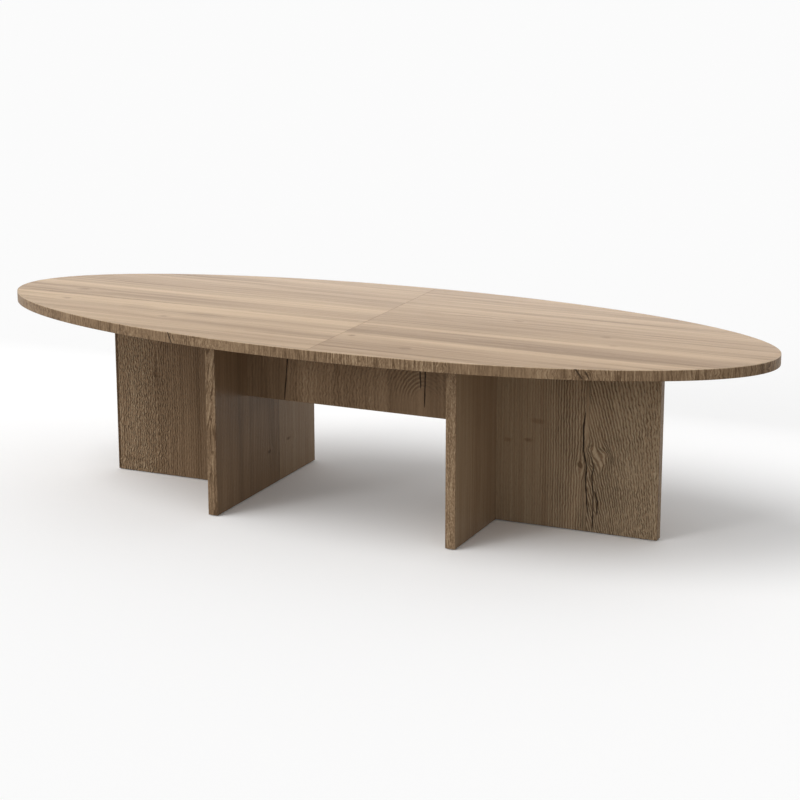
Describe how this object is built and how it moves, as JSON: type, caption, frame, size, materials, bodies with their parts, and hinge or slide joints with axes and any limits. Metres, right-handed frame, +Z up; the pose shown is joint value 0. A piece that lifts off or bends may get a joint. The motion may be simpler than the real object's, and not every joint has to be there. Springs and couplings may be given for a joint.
{
  "type": "conference table",
  "caption": "Oval conference table: a wood-decor top in halves on T-shaped panel bases joined by rails, with levelling feet that screw out.",
  "frame": {"origin": "on the floor, below the middle of the top", "axes": "+X along the table's length, +Y across it towards the back, +Z up"},
  "size_m": [3.2, 1.2, 0.75],
  "materials": {
    "top_decor": "satin printed oak decor, long grain along the table",
    "panel_decor": "satin printed oak decor, upright embossed grain",
    "edge_decor": "satin oak-print edge band",
    "zinc_steel": "bright zinc plate",
    "cast_zinc": "plain die-cast zinc",
    "black_plastic": "fine matt moulded plastic",
    "beech": "bare turned beech"
  },
  "bodies": {
    "table": {"top_left_board": "top_decor", "top_right_board": "top_decor", "left_cross_panel": "panel_decor", "left_fin_panel": "panel_decor", "right_cross_panel": "panel_decor", "right_fin_panel": "panel_decor", "front_rail": "panel_decor", "back_rail": "panel_decor", "top_left_rim_band": "edge_decor", "top_left_seam_band": "edge_decor", "top_right_rim_band": "edge_decor", "top_right_seam_band": "edge_decor", "left_cross_front_band": "edge_decor", "left_cross_back_band": "edge_decor", "left_fin_end_band": "edge_decor", "right_cross_front_band": "edge_decor", "right_cross_back_band": "edge_decor", "right_fin_end_band": "edge_decor", "front_rail_bottom_band": "edge_decor", "back_rail_bottom_band": "edge_decor", "left_front_insert": "zinc_steel", "left_back_insert": "zinc_steel", "left_fin_insert": "zinc_steel", "right_front_insert": "zinc_steel", "right_back_insert": "zinc_steel", "right_fin_insert": "zinc_steel", "front_draw_bolt": "zinc_steel", "front_draw_nut": "zinc_steel", "back_draw_bolt": "zinc_steel", "back_draw_nut": "zinc_steel", "front_left_half_moon": "zinc_steel", "front_right_half_moon": "zinc_steel", "back_left_half_moon": "zinc_steel", "back_right_half_moon": "zinc_steel", "left_front_top_bracket": "zinc_steel", "left_back_top_bracket": "zinc_steel", "left_fin_top_bracket": "zinc_steel", "right_front_top_bracket": "zinc_steel", "right_back_top_bracket": "zinc_steel", "right_fin_top_bracket": "zinc_steel", "front_left_rail_bracket": "zinc_steel", "front_right_rail_bracket": "zinc_steel", "back_left_rail_bracket": "zinc_steel", "back_right_rail_bracket": "zinc_steel", "left_fin_lower_cam_bolt": "zinc_steel", "left_fin_upper_cam_bolt": "zinc_steel", "right_fin_lower_cam_bolt": "zinc_steel", "right_fin_upper_cam_bolt": "zinc_steel", "left_fin_lower_cam": "cast_zinc", "left_fin_upper_cam": "cast_zinc", "right_fin_lower_cam": "cast_zinc", "right_fin_upper_cam": "cast_zinc", "front_seam_dowel": "beech", "back_seam_dowel": "beech"},
    "left_front_foot": {"left_front_foot": "black_plastic"},
    "left_back_foot": {"left_back_foot": "black_plastic"},
    "left_fin_foot": {"left_fin_foot": "black_plastic"},
    "right_front_foot": {"right_front_foot": "black_plastic"},
    "right_back_foot": {"right_back_foot": "black_plastic"},
    "right_fin_foot": {"right_fin_foot": "black_plastic"}
  },
  "joints": [
    {"name": "left_front_foot_screw", "type": "slide", "parent": "table", "child": "left_front_foot", "axis": [0, 0, -1], "range_m": [0, 0.01]},
    {"name": "left_back_foot_screw", "type": "slide", "parent": "table", "child": "left_back_foot", "axis": [0, 0, -1], "range_m": [0, 0.01]},
    {"name": "left_fin_foot_screw", "type": "slide", "parent": "table", "child": "left_fin_foot", "axis": [0, 0, -1], "range_m": [0, 0.01]},
    {"name": "right_front_foot_screw", "type": "slide", "parent": "table", "child": "right_front_foot", "axis": [0, 0, -1], "range_m": [0, 0.01]},
    {"name": "right_back_foot_screw", "type": "slide", "parent": "table", "child": "right_back_foot", "axis": [0, 0, -1], "range_m": [0, 0.01]},
    {"name": "right_fin_foot_screw", "type": "slide", "parent": "table", "child": "right_fin_foot", "axis": [0, 0, -1], "range_m": [0, 0.01]}
  ]
}
